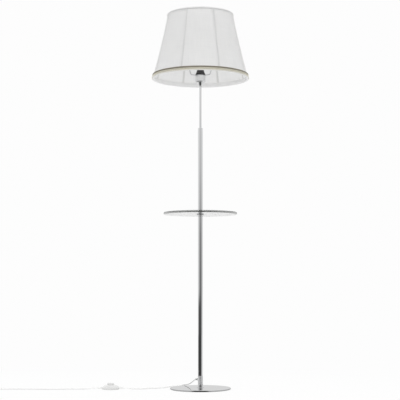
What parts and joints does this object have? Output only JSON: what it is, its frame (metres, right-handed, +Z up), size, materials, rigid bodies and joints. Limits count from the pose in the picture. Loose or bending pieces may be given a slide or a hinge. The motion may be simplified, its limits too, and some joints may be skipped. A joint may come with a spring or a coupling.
{
  "type": "floor lamp with table",
  "caption": "Floor lamp with a tapered fabric shade, a round glass table on its chrome pole, a round base, and a cord with foot switch and plug.",
  "frame": {"origin": "centre of the round base at floor level", "axes": "+Z up along the pole, -Y towards the front, the cord leaves towards -X"},
  "size_m": [1.1235, 0.4, 1.5386],
  "materials": {
    "chrome": "polished",
    "zinc_steel": "zinc plated",
    "satin_metal": "satin",
    "pad_rubber": "matt",
    "clear_plastic": "clear, soft",
    "table_glass": "clear with polished edge",
    "cord_pvc": "smooth, flexible",
    "holder_plastic": "satin black",
    "insulator_plastic": "heat-resistant",
    "contact_brass": "plain",
    "bulb_cap_metal": "satin",
    "bulb_opal": "opal",
    "frame_paint": "white gloss",
    "shade_fabric": "pale, finely woven, translucent",
    "trim_braid": "grey-beige woven braid",
    "white_plastic": "white satin",
    "tie_strap": "soft strap",
    "pin_metal": "nickel plated"
  },
  "bodies": {
    "lamp": {"base_pad": "pad_rubber", "base_plate": "chrome", "base_washer": "zinc_steel", "base_nut": "zinc_steel", "base_nipple": "zinc_steel", "foot_ring": "chrome", "cord_collar": "satin_metal", "cord_grommet": "clear_plastic", "collar_nipple": "zinc_steel", "lower_tube": "chrome", "lower_tube_plugs": "zinc_steel", "table_nipple": "zinc_steel", "table_lower_flange": "chrome", "table_lower_gasket": "clear_plastic", "table_top": "table_glass", "table_bush": "clear_plastic", "table_upper_gasket": "clear_plastic", "table_upper_flange": "chrome", "upper_tube": "chrome", "upper_tube_plugs": "zinc_steel", "tube_cap": "chrome", "stem": "chrome", "inner_cable": "cord_pvc", "neck_cone": "chrome", "holder_cup": "chrome", "holder_lock_nut": "zinc_steel", "holder_cap": "holder_plastic", "holder_body": "holder_plastic", "holder_insulator": "insulator_plastic", "screw_shell": "contact_brass", "centre_contact": "contact_brass", "shade_ring": "holder_plastic", "bulb_cap": "bulb_cap_metal", "bulb_glass": "bulb_opal", "fitter_ring": "zinc_steel", "spider_arms": "zinc_steel", "shade_top_ring": "frame_paint", "shade_bottom_ring": "frame_paint", "shade_ribs": "frame_paint", "shade_cover": "shade_fabric", "top_hem": "shade_fabric", "braid_trim": "trim_braid", "cord_lamp_side": "cord_pvc", "switch_base": "white_plastic", "switch_cover": "white_plastic", "switch_spring": "zinc_steel", "switch_mechanism": "holder_plastic", "switch_contacts": "contact_brass", "switch_screws": "zinc_steel", "cord_clamps": "white_plastic", "switch_leads": "cord_pvc", "switch_boots": "cord_pvc", "cord_plug_side": "cord_pvc", "cord_coil": "cord_pvc", "coil_tie": "tie_strap", "plug_boot": "cord_pvc", "plug_body": "white_plastic", "plug_pins": "pin_metal"},
    "button": {"switch_button": "white_plastic"}
  },
  "joints": [
    {"name": "button_press", "type": "slide", "parent": "lamp", "child": "button", "axis": [0, 0, -1], "range_m": [0, 0.003], "stiffness_N_per_m": 1000, "springref_m": -0.002, "deforming": ["switch_spring"]}
  ]
}
